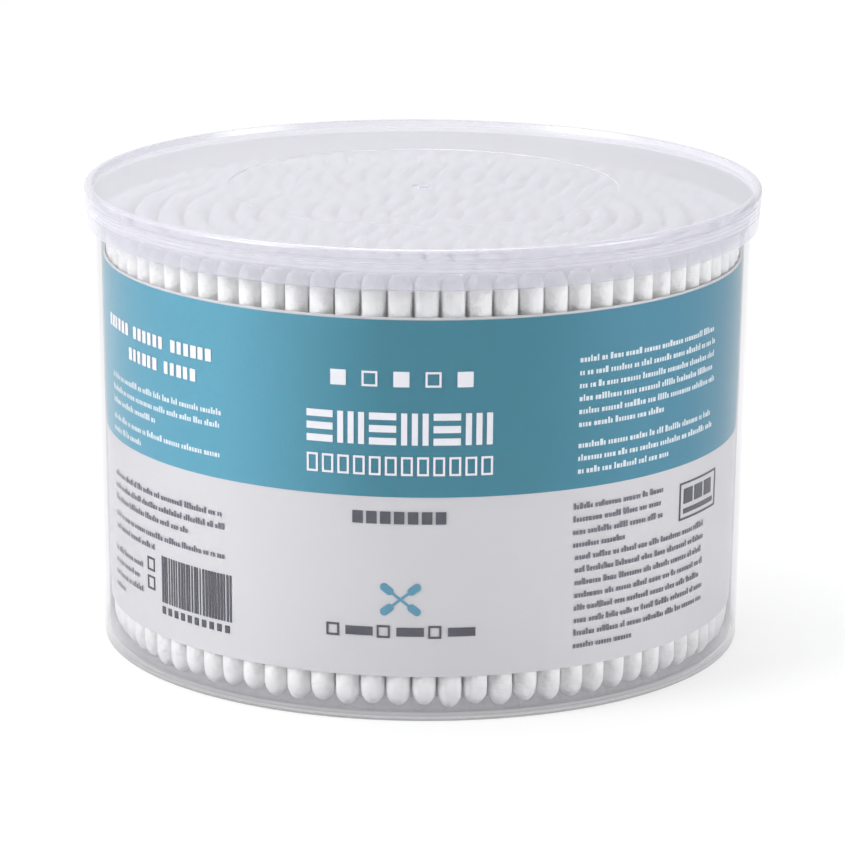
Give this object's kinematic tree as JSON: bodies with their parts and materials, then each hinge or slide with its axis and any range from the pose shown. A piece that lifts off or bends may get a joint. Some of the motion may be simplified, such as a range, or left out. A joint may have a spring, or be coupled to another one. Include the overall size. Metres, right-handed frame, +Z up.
{
  "type": "round tub of cotton swabs",
  "caption": "Round clear plastic tub with a pull-off lid, packed with upright double-ended cotton swabs behind a wrapped label with a teal band.",
  "frame": {"origin": "centre of the foot, on the surface the tub stands on", "axes": "+Z up along the tub's axis, -Y towards the front of the print, +X to its right"},
  "size_m": [0.1177, 0.1178, 0.0806],
  "materials": {
    "clear_styrene": "clear moulded polystyrene, glossy",
    "frosted_lid": "clear moulded polystyrene, slightly milky",
    "label_paper": "smooth coated label sheet",
    "band_ink": "printed teal field, satin",
    "white_ink": "unprinted white in the field",
    "dark_ink": "dark grey print",
    "emblem_ink": "blue-green print",
    "swab_stick": "white rolled stick",
    "cotton": "wound bleached cotton"
  },
  "bodies": {
    "tub": {"tub": "clear_styrene", "label": "label_paper", "label_band": "band_ink", "light_marks": "white_ink", "light_text": "white_ink", "dark_marks": "dark_ink", "dark_text": "dark_ink", "emblem": "emblem_ink", "sticks_ring_00": "swab_stick", "sticks_ring_01": "swab_stick", "sticks_ring_02": "swab_stick", "sticks_ring_03": "swab_stick", "sticks_ring_04": "swab_stick", "sticks_ring_05": "swab_stick", "sticks_ring_06": "swab_stick", "sticks_ring_07": "swab_stick", "sticks_ring_08": "swab_stick", "sticks_ring_09": "swab_stick", "sticks_ring_10": "swab_stick", "sticks_ring_11": "swab_stick", "sticks_ring_12": "swab_stick", "upper_tips_ring_00": "cotton", "upper_tips_ring_01": "cotton", "upper_tips_ring_02": "cotton", "upper_tips_ring_03": "cotton", "upper_tips_ring_04": "cotton", "upper_tips_ring_05": "cotton", "upper_tips_ring_06": "cotton", "upper_tips_ring_07": "cotton", "upper_tips_ring_08": "cotton", "upper_tips_ring_09": "cotton", "upper_tips_ring_10": "cotton", "upper_tips_ring_11": "cotton", "upper_tips_ring_12": "cotton", "lower_tips_ring_00": "cotton", "lower_tips_ring_01": "cotton", "lower_tips_ring_02": "cotton", "lower_tips_ring_03": "cotton", "lower_tips_ring_04": "cotton", "lower_tips_ring_05": "cotton", "lower_tips_ring_06": "cotton", "lower_tips_ring_07": "cotton", "lower_tips_ring_08": "cotton", "lower_tips_ring_09": "cotton", "lower_tips_ring_10": "cotton", "lower_tips_ring_11": "cotton", "lower_tips_ring_12": "cotton"},
    "lid": {"lid": "frosted_lid"}
  },
  "joints": [
    {"name": "lid_lift", "type": "slide", "parent": "tub", "child": "lid", "axis": [0, 0, 1], "range_m": [0, 0.03]}
  ]
}
